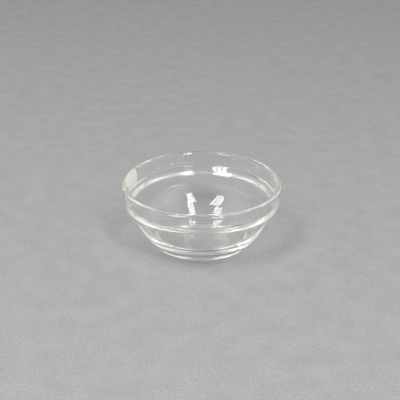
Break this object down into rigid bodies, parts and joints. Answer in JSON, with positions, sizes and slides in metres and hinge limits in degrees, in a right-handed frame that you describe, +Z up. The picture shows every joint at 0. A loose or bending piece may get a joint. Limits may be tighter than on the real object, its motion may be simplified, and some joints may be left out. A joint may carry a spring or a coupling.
{
  "type": "prep bowl",
  "caption": "Small clear pressed-glass prep bowl that stacks: rounded rim, tapering collar, sloping inner ledge, round body and short foot, with a blank paper label on the collar.",
  "frame": {"origin": "on the table, on the bowl's axis, at the middle of the foot's ring", "axes": "+Z up along the bowl's axis, +Y away from the viewer in the picture's view, with the label at the far left"},
  "size_m": [0.12, 0.12, 0.048],
  "materials": {
    "clear_glass": "smooth pressed glass, clear, with a faint green tint in its thick edges",
    "label_paper": "matt white label paper, slightly worn, bare of print"
  },
  "bodies": {
    "root": {"glass_bowl": "clear_glass", "label": "label_paper"}
  },
  "joints": []
}
